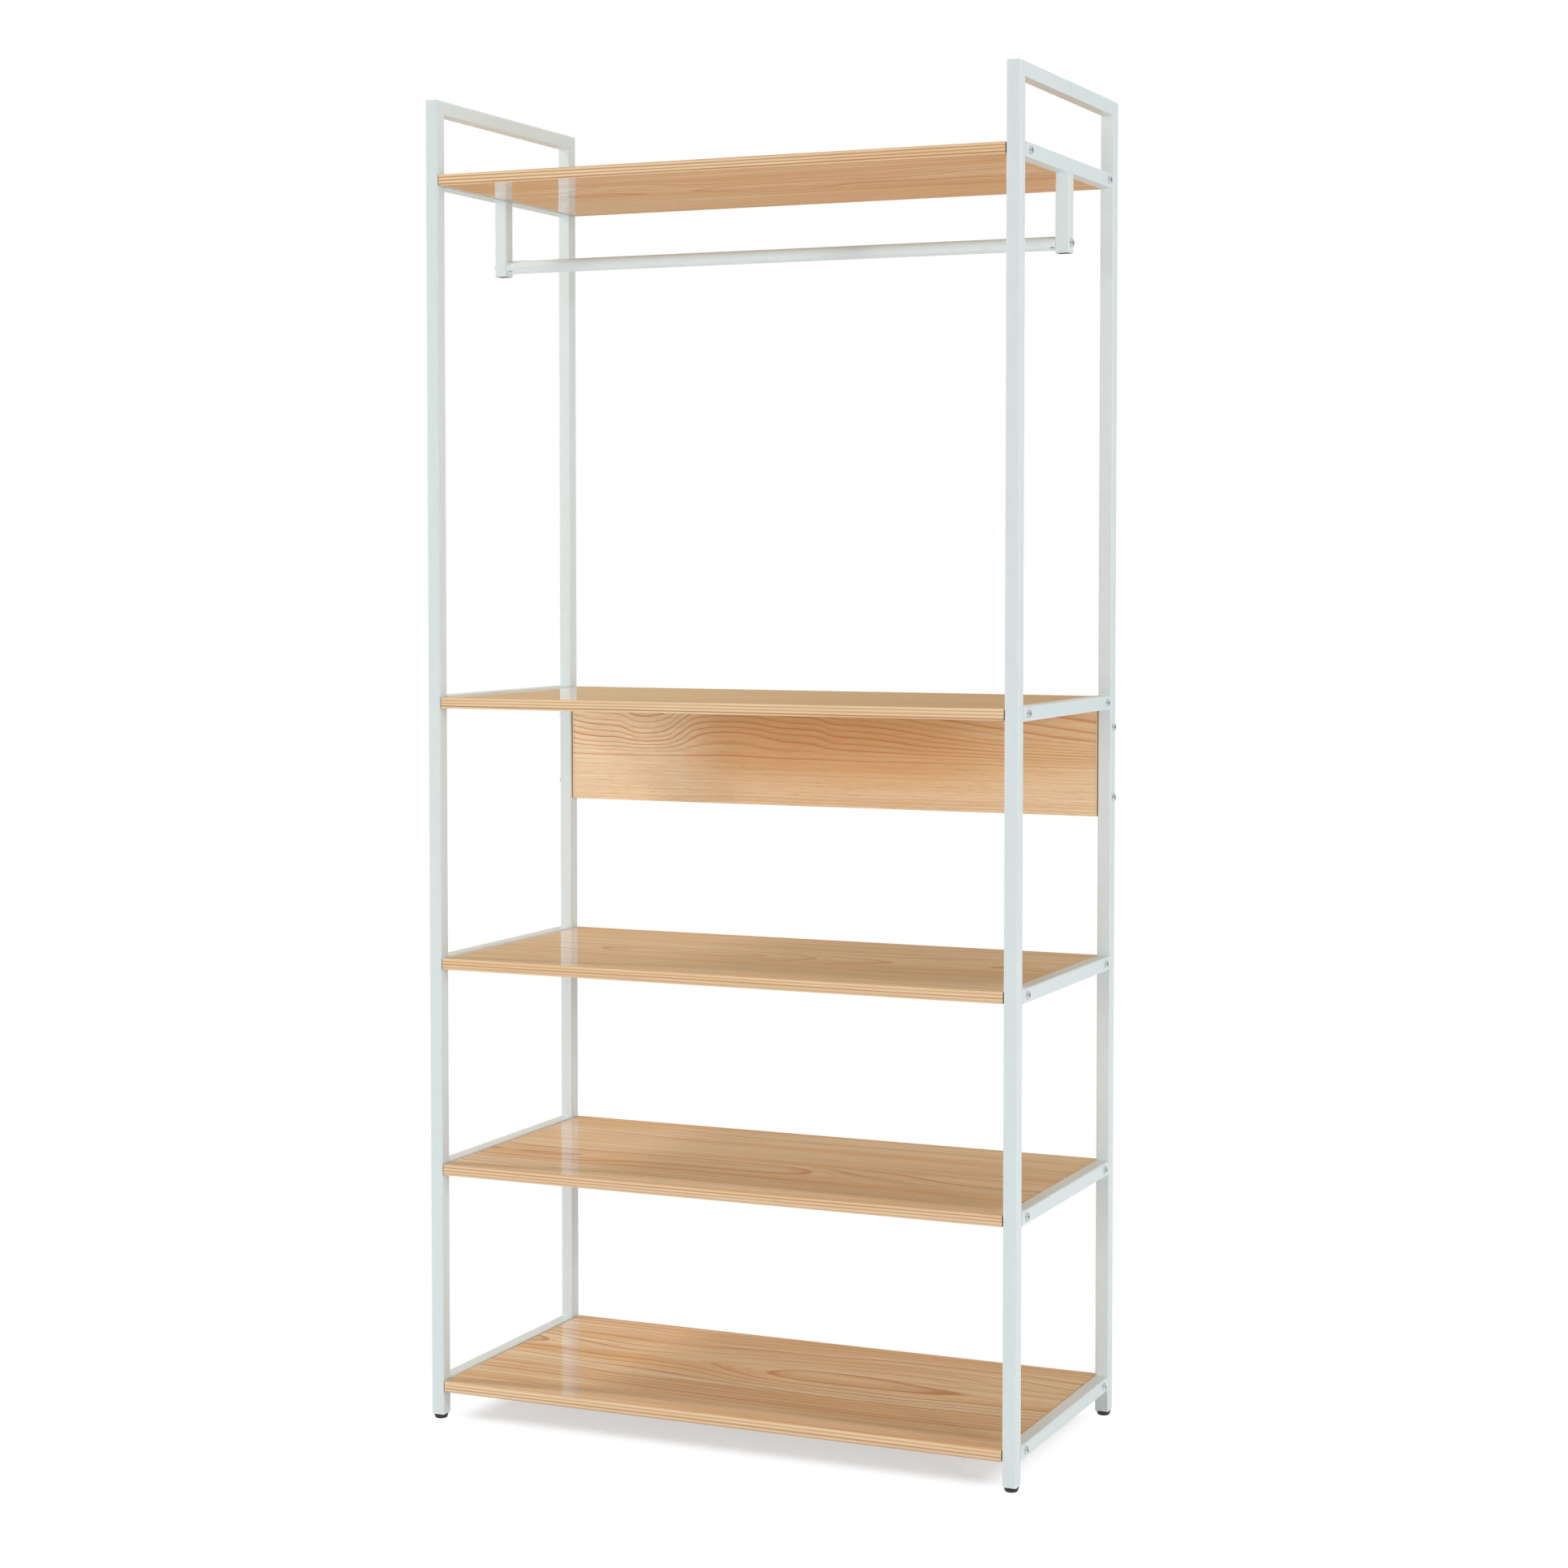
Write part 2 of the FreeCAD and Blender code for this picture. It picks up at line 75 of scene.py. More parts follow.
def addNode(tree, kind, inputs=None, **settings):
    node = tree.nodes.new(kind)
    for name, value in settings.items():
        setattr(node, name, value)
    for socket, value in (inputs or {}).items():
        if isinstance(value, bpy.types.NodeSocket):
            tree.links.new(value, node.inputs[socket])
        else:
            node.inputs[socket].default_value = value
    return node


def calc(tree, operation, first, second=0.0, third=0.0):
    inputs = {0: first, 1: second, 2: third}
    return addNode(tree, "ShaderNodeMath", inputs, operation=operation).outputs[0]


def calcVector(tree, operation, first, second=(0, 0, 0)):
    return addNode(tree, "ShaderNodeVectorMath", {0: first, 1: second}, operation=operation).outputs


def mixColours(tree, share, first, second):
    inputs = {0: share, 6: first, 7: second}
    return addNode(tree, "ShaderNodeMix", inputs, data_type="RGBA").outputs[2]


def between(tree, value, low, high, start=0.0, end=1.0):
    inputs = {"Value": value, "From Min": low, "From Max": high, "To Min": start, "To Max": end}
    return addNode(tree, "ShaderNodeMapRange", inputs, interpolation_type="SMOOTHSTEP").outputs[0]


def stretched(tree, vector, scale):
    return addNode(tree, "ShaderNodeMapping", {"Vector": vector, "Scale": scale}).outputs[0]


def noise(tree, place, seed, scale, detail=2.0, roughness=0.5):
    if isinstance(scale, tuple):
        place = stretched(tree, place, scale)
        scale = 1.0
    inputs = {"Vector": place, "W": seed, "Scale": scale, "Detail": detail, "Roughness": roughness}
    return addNode(tree, "ShaderNodeTexNoise", inputs, noise_dimensions="4D").outputs


def chanceOf(tree, number):
    return addNode(tree, "ShaderNodeTexWhiteNoise", {"W": number}, noise_dimensions="1D").outputs[0]


def ramp(tree, share, stops):
    node = addNode(tree, "ShaderNodeValToRGB", {0: share})
    elements = node.color_ramp.elements
    while len(elements) < len(stops):
        elements.new(0.5)
    for element, (place, level) in zip(elements, stops):
        element.position = place
        element.color = (level, level, level, 1.0)
    return node.outputs[0]


def drawnCurve(tree, share, points, low, high):
    node = addNode(tree, "ShaderNodeFloatCurve", {"Value": share})
    curve = node.mapping.curves[0]
    while len(curve.points) < len(points):
        curve.points.new(0.5, 0.5)
    for point, (place, level) in zip(curve.points, points):
        point.location = (place, (level - low) / (high - low))
    node.mapping.update()
    inputs = {"Value": node.outputs[0], "To Min": low, "To Max": high}
    return addNode(tree, "ShaderNodeMapRange", inputs).outputs[0]


def objectPlace(tree):
    return addNode(tree, "ShaderNodeTexCoord").outputs["Object"]


def newMaterial(name, sockets):
    material = bpy.data.materials.new(name)
    material.use_nodes = True
    shader = material.node_tree.nodes["Principled BSDF"]
    for socket, value in sockets.items():
        shader.inputs[socket].default_value = value
    return material, material.node_tree, shader


def setColour(tree, shader, colour):
    tree.links.new(colour, shader.inputs["Base Color"])


def varyRoughness(tree, shader, share, middle, spread):
    roughness = calc(tree, "MULTIPLY_ADD", share, spread, middle - spread / 2)
    tree.links.new(roughness, shader.inputs["Roughness"])


def addBump(tree, shader, height, depth):
    bump = addNode(tree, "ShaderNodeBump", {"Height": height, "Distance": depth})
    tree.links.new(bump.outputs[0], shader.inputs["Normal"])


# white powder coat, smooth with a faint orange peel

powderCoat = {
    "colour": srgb(221, 231, 230),
    "thinColour": srgb(216, 225, 224),
    "sockets": {"Roughness": 0.36, "Specular IOR Level": 0.45, "Coat Weight": 0.15, "Coat Roughness": 0.18},
    "mottle": {"seed": 1.0, "scale": 45.0, "detail": 3.0},
    "peel": {"seed": 2.0, "scale": 900.0, "detail": 1.0},
    "peelDepth": 0.00004,
}


def powderCoatMaterial():
    look = powderCoat
    material, tree, shader = newMaterial("whitePowderCoat", look["sockets"])
    place = objectPlace(tree)
    mottle = noise(tree, place, **look["mottle"])[0]
    setColour(tree, shader, mixColours(tree, mottle, look["thinColour"], look["colour"]))
    addBump(tree, shader, noise(tree, place, **look["peel"])[0], look["peelDepth"])
    return material


# wood-look laminate: growth rings cut nearly flat, so that they draw long arches and eyes

laminate = {
    "cream": srgb(253, 243, 220),
    "pale": srgb(249, 232, 196),
    "deep": srgb(208, 149, 92),
    "pore": srgb(178, 120, 74),
    "sockets": {"Specular IOR Level": 0.3, "Coat Weight": 1.0, "Coat Roughness": 0.06, "Coat IOR": 1.65},
    "roughness": 0.42,
    "roughnessSpread": 0.12,
    "rippleReach": 0.006,
    "unevenScale": 0.33,
    "hairRings": 2.7,          # hair lines to a ring
    "ringTone": (0.45, 0.55),  # least strength of a ring line, and what chance adds
    "toneReach": 0.13,         # how far the noise strays from its middle before the tone is full
    "fibreStrength": 0.16,
    "poreDepth": 0.00003,
    "layers": {                # scales along, across and through the board
        "drift": {"seed": 0, "scale": (1.5, 3.4, 3.4), "roughness": 0.45},
        "ripple": {"seed": 1, "scale": (7.0, 30.0, 30.0), "detail": 1.0},
        "tone": {"seed": 2, "scale": (1.3, 13.0, 13.0), "detail": 3.0},
        "fibre": {"seed": 3, "scale": (14.0, 820.0, 820.0), "roughness": 0.6},
        "pore": {"seed": 4, "scale": (60.0, 2400.0, 2400.0), "detail": 0.0},
        "fade": {"seed": 5, "scale": (2.0, 9.0, 9.0)},
        "fine": {"seed": 6, "scale": (1.6, 300.0, 300.0), "detail": 1.0},
        "streak": {"seed": 7, "scale": (1.8, 55.0, 55.0)},
        "cream": {"seed": 8, "scale": (1.1, 27.0, 27.0), "detail": 3.0},
        "deep": {"seed": 9, "scale": (1.0, 36.0, 36.0), "detail": 3.0},
    },
    "stops": {
        "hair": [(0.0, 0.0), (0.55, 0.1), (0.78, 1.0), (0.9, 0.7), (1.0, 0.0)],
        "fade": [(0.36, 0.25), (0.58, 1.0)],
        "cream": [(0.52, 0.0), (0.68, 1.0)],
        "deep": [(0.53, 0.0), (0.70, 1.0)],
        "fine": [(0.40, 0.0), (0.62, 1.0)],
        "fibre": [(0.35, 1.0), (0.65, 0.0)],
        "pore": [(0.27, 0.4), (0.36, 0.0)],
    },
}
figures = {                    # where the log's heart lies from each board's middle, and how far it swings
    "bottom_shelf": {"across": 0.05, "depth": 0.06, "swing": 0.24, "seed": 3.1},
    "lower_shelf": {"across": -0.05, "depth": 0.06, "swing": 0.22, "seed": 11.7},
    "middle_shelf": {"across": 0.02, "depth": 0.07, "swing": 0.24, "seed": 23.2},
    "upper_shelf": {"across": 0.09, "depth": 0.07, "swing": 0.22, "seed": 37.9},
    "top_shelf": {"across": -0.03, "depth": 0.07, "swing": 0.22, "seed": 51.4},
    "back_panel": {"across": 0.120, "depth": 0.055, "swing": 0.02, "seed": 64.6},
}
shelfGrain = {                 # how far each layer shows
    "pitch": 0.0115,
    "ringStops": [(0.0, 0.0), (0.55, 0.06), (0.80, 0.34), (0.91, 1.0), (0.96, 0.9), (1.0, 0.0)],
    "honey": srgb(230, 184, 131),
    "late": srgb(180, 108, 58),
    "uneven": 2.0,             # in rings
    "contrast": 1.45,
    "hair": 0.26,
    "fine": 0.26,
    "streak": 0.42,
    "cream": 0.6,
    "deep": 0.5,
}
topGrain = dict(shelfGrain, late=srgb(172, 100, 52), contrast=1.7, deep=0.9, fine=0.42)
panelGrain = {                 # the rings sway along the panel, and run fine and straight near its foot
    "pitch": 0.0070,
    "ringStops": [(0.0, 0.0), (0.45, 0.05), (0.72, 0.3), (0.86, 1.0), (0.94, 0.8), (1.0, 0.0)],
    "honey": srgb(221, 177, 121),
    "late": srgb(194, 120, 66),
    "uneven": 0.9,
    "contrast": 0.9,
    "hair": 0.06,
    "fine": 0.12,
    "streak": 0.12,
    "cream": 0.16,
    "deep": 0.12,
    "footPitch": 0.0046,
    "footStart": 0.146,        # distance from the heart at which the finer rings begin
    "swayReach": 0.030,
    "swayRange": (-1.5, 1.0),
    "sway": [(0.0, 0.0), (0.05, -0.2), (0.09, -0.23), (0.14, -0.56), (0.17, -0.5), (0.22, 0.13), (0.27, 0.62),
             (0.33, 0.66), (0.42, 0.42), (0.48, 0.32), (0.52, 0.06), (0.58, 0.0), (0.7, -0.4), (0.85, -0.9),
             (1.0, -1.3)],
    "toneRange": (0.0, 1.0),
    "tone": [(0.0, 0.0), (0.16, 0.0), (0.36, 0.95), (0.62, 1.0), (0.85, 0.6), (1.0, 0.45)],
    "straightFrom": -0.012,    # heights from the panel's middle
    "swayFrom": 0.030,
    "footFrom": -0.050,
    "straightBlend": 0.008,
    "straightShare": 0.26,
    "footShare": 0.45,
    "straightTone": 0.3,       # how much of the tone is left at the foot
}
grains = {"back_panel": panelGrain, "top_shelf": topGrain}


def boardPlace(tree, board):
    low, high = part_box(board)
    middle = (low + high) / 2
    standing = high.z - low.z > high.y - low.y
    turn = Matrix.Rotation(-math.pi / 2 if standing else 0.0, 3, "X")  # lays a standing board flat
    place = addNode(tree, "ShaderNodeMapping", {
        "Vector": objectPlace(tree),
        "Rotation": turn.to_euler(),
        "Location": -(turn @ middle),
    }).outputs[0]
    return place, standing, (high.x - low.x) / 2


def panelSway(tree, along, height):
    look = panelGrain
    sway = drawnCurve(tree, along, look["sway"], *look["swayRange"])
    share = between(tree, height, look["straightFrom"], look["swayFrom"], 0.0, -look["swayReach"])
    return calc(tree, "MULTIPLY", sway, share)


def panelFinerRings(tree, radius):
    look = panelGrain
    beyond = calc(tree, "MAXIMUM", calc(tree, "SUBTRACT", radius, look["footStart"]), 0.0)
    return calc(tree, "MULTIPLY", beyond, 1 / look["footPitch"] - 1 / look["pitch"])


def panelStrength(tree, height):
    look = panelGrain
    footFrom, straightFrom, blend = look["footFrom"], look["straightFrom"], look["straightBlend"]
    foot = between(tree, height, footFrom + blend, footFrom - blend, look["straightShare"], look["footShare"])
    straight = between(tree, height, straightFrom + blend, straightFrom - blend)
    return addNode(tree, "ShaderNodeMix", {0: straight, 2: 1.0, 3: foot}, data_type="FLOAT").outputs[0]


def panelTone(tree, along, height):
    look = panelGrain
    tone = drawnCurve(tree, along, look["tone"], *look["toneRange"])
    kept = between(tree, height, look["straightFrom"], look["footFrom"], 1.0, look["straightTone"])
    return calc(tree, "MULTIPLY", tone, kept)


def laminateMaterial(board):
    look = laminate
    figure = figures[board]
    grain = grains.get(board, shelfGrain)
    material, tree, shader = newMaterial(f"laminate_{board}", look["sockets"])
    place, standing, halfLength = boardPlace(tree, board)
    along, height, _ = addNode(tree, "ShaderNodeSeparateXYZ", {0: place}).outputs

    def layer(name, output=0):
        settings = dict(look["layers"][name])
        settings["seed"] += figure["seed"]
        return noise(tree, place, **settings)[output]

    def patches(name, strength=1.0):
        return calc(tree, "MULTIPLY", ramp(tree, layer(name), look["stops"][name]), strength)

    # distance from the log's heart, counted in rings
    drift = addNode(tree, "ShaderNodeSeparateColor", {0: layer("drift", 1)}).outputs[0]
    depth = calc(tree, "MULTIPLY_ADD", drift, figure["swing"], figure["depth"] - figure["swing"] / 2)
    across = calc(tree, "SUBTRACT", height, figure["across"])
    across = calc(tree, "MULTIPLY_ADD", layer("ripple"), look["rippleReach"], across)
    if standing:
        span = {"Value": along, "From Min": -halfLength, "From Max": halfLength}
        along = addNode(tree, "ShaderNodeMapRange", span).outputs[0]
        across = calc(tree, "ADD", across, panelSway(tree, along, height))
    fromHeart = addNode(tree, "ShaderNodeCombineXYZ", {1: across, 2: depth}).outputs[0]
    radius = calcVector(tree, "LENGTH", fromHeart)["Value"]
    rings = calc(tree, "DIVIDE", radius, grain["pitch"])
    if standing:
        rings = calc(tree, "ADD", rings, panelFinerRings(tree, radius))
    inputs = {"W": rings, "Scale": look["unevenScale"]}
    uneven = addNode(tree, "ShaderNodeTexNoise", inputs, noise_dimensions="1D").outputs[0]
    rings = calc(tree, "MULTIPLY_ADD", uneven, grain["uneven"], rings)

    # dark late wood, fading in and out along the board
    late = ramp(tree, calc(tree, "FRACT", rings), grain["ringStops"])
    least, chance = look["ringTone"]
    ringTone = chanceOf(tree, calc(tree, "FLOOR", rings))
    lateShare = calc(tree, "MULTIPLY", late, calc(tree, "MULTIPLY_ADD", ringTone, chance, least))
    strength = panelStrength(tree, height) if standing else patches("fade")
    lateShare = calc(tree, "MULTIPLY", lateShare, strength)
    lateShare = calc(tree, "MINIMUM", calc(tree, "MULTIPLY", lateShare, grain["contrast"]), 1.0)
    hair = calc(tree, "FRACT", calc(tree, "MULTIPLY", rings, look["hairRings"]))
    hairShare = calc(tree, "MULTIPLY", ramp(tree, hair, look["stops"]["hair"]), grain["hair"])

    # broad tone and streaks
    reach = look["toneReach"] / grain["contrast"]
    toneStops = [(0.5 - reach, 0.0), (0.5 + reach, 1.0)]
    tone = panelTone(tree, along, height) if standing else ramp(tree, layer("tone"), toneStops)
    toneShare = calc(tree, "MULTIPLY", tone, 1 - grain["streak"])
    streak = ramp(tree, layer("streak"), toneStops)
    toneShare = calc(tree, "MULTIPLY_ADD", streak, grain["streak"], toneShare)

    fibre = layer("fibre")
    fibreShare = calc(tree, "MULTIPLY", ramp(tree, fibre, look["stops"]["fibre"]), look["fibreStrength"])
    pores = patches("pore")
    colour = mixColours(tree, toneShare, look["pale"], grain["honey"])
    colour = mixColours(tree, patches("cream", grain["cream"]), colour, look["cream"])
    colour = mixColours(tree, patches("deep", grain["deep"]), colour, look["deep"])
    for share in (patches("fine", grain["fine"]), hairShare, lateShare, fibreShare):
        colour = mixColours(tree, share, colour, grain["late"])
    setColour(tree, shader, mixColours(tree, pores, colour, look["pore"]))
    varyRoughness(tree, shader, fibre, look["roughness"], look["roughnessSpread"])
    addBump(tree, shader, calc(tree, "SUBTRACT", 1.0, pores), look["poreDepth"])
    return material


# edge strips: straight stripes along each strip, and end faces painted dark brown as painted shade for the
# gaps beside the tubes

edging = {
    "pale": srgb(250, 231, 194),
    "honey": srgb(230, 190, 139),
    "late": srgb(178, 114, 66),
    "sockets": {"Specular IOR Level": 0.3, "Coat Weight": 0.6, "Coat Roughness": 0.16, "Coat IOR": 1.6},
    "roughness": 0.47,
    "roughnessSpread": 0.1,
    "linePitch": 0.0043,
    "lineStops": [(0.0, 0.0), (0.40, 0.08), (0.66, 0.9), (0.84, 0.9), (0.96, 0.0)],
    "lineTone": (0.35, 0.65),  # least strength of a line, and what chance adds
    "wander": 1.0,             # how far the lines wander, in lines
    "threadStops": [(0.40, 1.0), (0.65, 0.0)],
    "threadStrength": 0.2,
    "layers": {
        "sway": {"seed": 0, "along": 1.6, "across": 60.0, "detail": 1.0},
        "tone": {"seed": 1, "along": 1.6, "across": 60.0, "detail": 2.0},
        "threads": {"seed": 2, "along": 9.0, "across": 1100.0, "detail": 1.0},
    },
    "stripes": {               # the axis that the stripes follow one another on
        "shelf": {"name": "edging_upright_stripes", "axis": 2, "seed": 71.0},
        "panel": {"name": "edging_level_stripes", "axis": 1, "seed": 83.0},
    },
    # painted shade: a dark brown for the strips' end faces, which are seen only down the 1 mm gaps between
    # the boards and the tubes, to darken those gaps
    "gapShade": srgb(132, 98, 68),
    "gapShadeDeep": srgb(92, 66, 46),
    "gapShadeSockets": {"Roughness": 0.8},
    "gapShadeSpeckle": {"seed": 91.0, "scale": 420.0},
    "arris": 0.0006,
    "arrisSegments": 3,
    "arrisProfile": 0.5,
    "flatAngle": math.radians(1),
    "inset": 0.0002,           # how far inside a face its strip is looked for
    "endFacing": 0.9,          # how squarely an end face, painted with gap shade, faces the side
}


def edgingMaterial(name, axis, seed):
    look = edging
    material, tree, shader = newMaterial(name, look["sockets"])
    place = objectPlace(tree)

    def layer(name):
        settings = look["layers"][name]
        scale = [settings["along"]] * 3
        scale[axis] = settings["across"]
        return noise(tree, place, seed + settings["seed"], tuple(scale), settings["detail"])[0]

    lines = addNode(tree, "ShaderNodeSeparateXYZ", {0: place}).outputs[axis]
    lines = calc(tree, "DIVIDE", lines, look["linePitch"])
    lines = calc(tree, "MULTIPLY_ADD", layer("sway"), look["wander"], lines)
    least, chance = look["lineTone"]
    lineTone = chanceOf(tree, calc(tree, "FLOOR", lines))
    line = ramp(tree, calc(tree, "FRACT", lines), look["lineStops"])
    line = calc(tree, "MULTIPLY", line, calc(tree, "MULTIPLY_ADD", lineTone, chance, least))
    threads = layer("threads")
    threadShare = calc(tree, "MULTIPLY", ramp(tree, threads, look["threadStops"]), look["threadStrength"])
    colour = mixColours(tree, layer("tone"), look["pale"], look["honey"])
    for share in (line, threadShare):
        colour = mixColours(tree, share, colour, look["late"])
    setColour(tree, shader, colour)
    varyRoughness(tree, shader, threads, look["roughness"], look["roughnessSpread"])
    return material


# painted shade: dark brown with a speckle, standing in for the shade down the gaps at the board ends
def gapShadeMaterial():
    look = edging
    material, tree, shader = newMaterial("edging_painted_gap_shade", look["gapShadeSockets"])
    speckle = noise(tree, objectPlace(tree), **look["gapShadeSpeckle"])[0]
    setColour(tree, shader, mixColours(tree, speckle, look["gapShadeDeep"], look["gapShade"]))
    return material


# metal and plastic finishes

zinc = {
    "bright": srgb(228, 230, 232),
    "dull": srgb(188, 191, 194),
    "sockets": {"Metallic": 1.0},
    "cloud": {"seed": 5.0, "scale": 320.0, "detail": 3.0},
    "brush": {"seed": 6.0, "scale": 1800.0},
    "brightRoughness": 0.24,
    "dullRoughness": 0.45,
    "roughnessSpread": 0.2,
}
blackMoulding = {
    "dark": srgb(26, 26, 27),
    "light": srgb(44, 44, 45),
    "sockets": {"Specular IOR Level": 0.45},
    "grain": {"seed": 7.0, "scale": 1500.0},
    "grainDepth": 0.00006,
    "roughness": 0.5,
    "roughnessSpread": 0.16,
}
whiteMoulding = {
    "dark": srgb(238, 239, 237),
    "light": srgb(247, 248, 247),
    "sockets": {"Specular IOR Level": 0.5},
    "grain": {"seed": 7.0, "scale": 1100.0},
    "grainDepth": 0.00003,
    "roughness": 0.42,
    "roughnessSpread": 0.16,
}


def zincMaterial(name, roughness):
    material, tree, shader = newMaterial(name, zinc["sockets"])
    place = objectPlace(tree)
    cloud = noise(tree, place, **zinc["cloud"])[0]
    brush = noise(tree, place, **zinc["brush"])[0]
    setColour(tree, shader, mixColours(tree, cloud, zinc["dull"], zinc["bright"]))
    varyRoughness(tree, shader, brush, roughness, zinc["roughnessSpread"])
    return material


def mouldedMaterial(name, look):
    material, tree, shader = newMaterial(name, look["sockets"])
    grain = noise(tree, objectPlace(tree), **look["grain"])[0]
    setColour(tree, shader, mixColours(tree, grain, look["dark"], look["light"]))
    varyRoughness(tree, shader, grain, look["roughness"], look["roughnessSpread"])
    addBump(tree, shader, grain, look["grainDepth"])
    return material


whiteCoat = powderCoatMaterial()
laminates = {board: laminateMaterial(board) for board in boards}
stripes = {kind: edgingMaterial(**settings) for kind, settings in edging["stripes"].items()}
gapShades = gapShadeMaterial()
brightZinc = zincMaterial("bright_zinc", zinc["brightRoughness"])
dullZinc = zincMaterial("dull_zinc", zinc["dullRoughness"])
blackPlastic = mouldedMaterial("black_moulding", blackMoulding)
whitePlastic = mouldedMaterial("white_moulding", whiteMoulding)
print("materials made:", len(bpy.data.materials))

finishes = [                   # by the end of a node's name
    (("_upright", "_bar", "_crossbar", "_drop_post", "hanging_rail"), whiteCoat),
    (("_inserts", "_foot_stud"), dullZinc),
    (("_bolts",), brightZinc),
    (("_foot_pad", "_post_plug"), blackPlastic),
    (("_foot_insert", "_plugs"), whitePlastic),
]


def coat(name, material):
    node = nodes[name]
    node.data.materials.clear()
    node.data.materials.append(material)


for name in nodes:
    if name in laminates:
        coat(name, laminates[name])
    for endings, finish in finishes:
        if name.endswith(endings):
            coat(name, finish)
print("finishes on the frame's own pieces")


# pieces

sharpAngle = math.radians(35)
sameSpot = 1e-6                # metres within which two points are one
samePlane = 1e-5


def addPiece(name, mesh, body, replaced):
    mesh.shade_smooth()
    mesh.set_sharp_from_angle(angle=sharpAngle)
    piece = bpy.data.objects.new(name, mesh)
    bpy.context.scene.collection.objects.link(piece)
    if body:
        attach(piece, body)
    if replaced:
        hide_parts(*replaced)
    return piece


def meshPiece(name, bm, material=None, body=None, replaced=()):
    mesh = bpy.data.meshes.new(name)
    bm.to_mesh(mesh)
    bm.free()
    if material:
        mesh.materials.append(material)
    return addPiece(name, mesh, body, replaced)


def stripOf(face, core):
    low, high = core
    inside = face.calc_center_median() - face.normal * edging["inset"]
    if inside.x < low.x:
        return "left"
    if inside.x > high.x:
        return "right"
    middle = (low + high) / 2
    lengths = high - low
    across = 1 if lengths.y > lengths.z else 2
    return "far" if inside[across] > middle[across] else "near"


def isArris(edge, box):
    shared = 0
    for axis in range(3):
        for corner in box:
            shared += all(abs(vert.co[axis] - corner[axis]) < samePlane for vert in edge.verts)
    return shared >= 2         # where two outer faces of the whole board meet


def edgingPiece(board):
    look = edging
    stripNode = f"{board}_strips"
    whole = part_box(stripNode)
    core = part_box(board)
    joined = bmesh.new()
    for strip in ("left", "right", "far", "near"):
        bm = bmesh.new()
        bm.from_mesh(nodes[stripNode].data)
        others = [face for face in bm.faces if stripOf(face, core) != strip]
        bmesh.ops.delete(bm, geom=others, context="FACES")
        bmesh.ops.remove_doubles(bm, verts=bm.verts, dist=sameSpot)
        bmesh.ops.dissolve_limit(bm, angle_limit=look["flatAngle"], verts=bm.verts, edges=bm.edges)
        arrises = [edge for edge in bm.edges if isArris(edge, whole)]
        bmesh.ops.bevel(bm, geom=arrises, offset=look["arris"], segments=look["arrisSegments"],
                        profile=look["arrisProfile"], affect="EDGES", clamp_overlap=True)
        bmesh.ops.recalc_face_normals(bm, faces=bm.faces)
        part = bpy.data.meshes.new("strip")
        bm.to_mesh(part)
        bm.free()
        joined.from_mesh(part)
        bpy.data.meshes.remove(part)
    # the strips' end faces get the second slot, the painted gap shade
    for face in joined.faces:
        toEnd = min(abs(face.calc_center_median().x - corner.x) for corner in whole)
        face.material_index = int(toEnd < samePlane and abs(face.normal.x) > look["endFacing"])
    kind = "panel" if board == "back_panel" else "shelf"
    piece = meshPiece(f"{board}_edging", joined, stripes[kind], "frame", [stripNode])
    # second slot: painted shade for the end faces in the gaps
    piece.data.materials.append(gapShades)


for board in boards:
    edgingPiece(board)
print("edge strips with rounded arrises on", len(boards), "boards")


# button-head bolts, scattered by nodes

buttonBolt = {
    "segments": 36,
    "rimShare": 0.14,          # upright rim, as a share of the head's height
    "rimInset": 0.3,           # rounding under the rim, in and up, as shares of the rim
    "rimStart": 0.4,
    "crownShare": 0.56,        # flat crown, as a share of the head's diameter
    "domeSteps": 6,
    "socketShare": 0.40,       # hexagon across its flats, as a share of the head's diameter
    "socketDepthShare": 0.62,
    "drillShare": 0.2,         # point of the drill at the socket's floor, as a share of the flats
    "countersink": 0.00035,
    "shankDiameter": 0.006,
    "shankLength": 0.030,
    "turnSeed": 8,
}


def ringOf(radii, height):
    ring = []
    for index, radius in enumerate(radii):
        angle = 2 * math.pi * index / len(radii)
        ring.append((radius * math.cos(angle), radius * math.sin(angle), height))
    return ring


def roundRing(radius, height, segments):
    return ringOf([radius] * segments, height)


def hexagonRing(acrossFlats, height, segments):
    sector = math.pi / 3
    radii = []
    for index in range(segments):
        angle = 2 * math.pi * index / segments
        radii.append(acrossFlats / 2 / math.cos((angle + sector / 2) % sector - sector / 2))
    return ringOf(radii, height)


def ringsMesh(rings, closed=True):
    bm = bmesh.new()
    loops = [[bm.verts.new(point) for point in ring] for ring in rings]
    count = len(loops[0])
    for lower, upper in zip(loops, loops[1:]):
        for index in range(count):
            following = (index + 1) % count
            bm.faces.new((lower[index], lower[following], upper[following], upper[index]))
    if closed:
        bm.faces.new(list(reversed(loops[0])))
        bm.faces.new(loops[-1])
    return bm


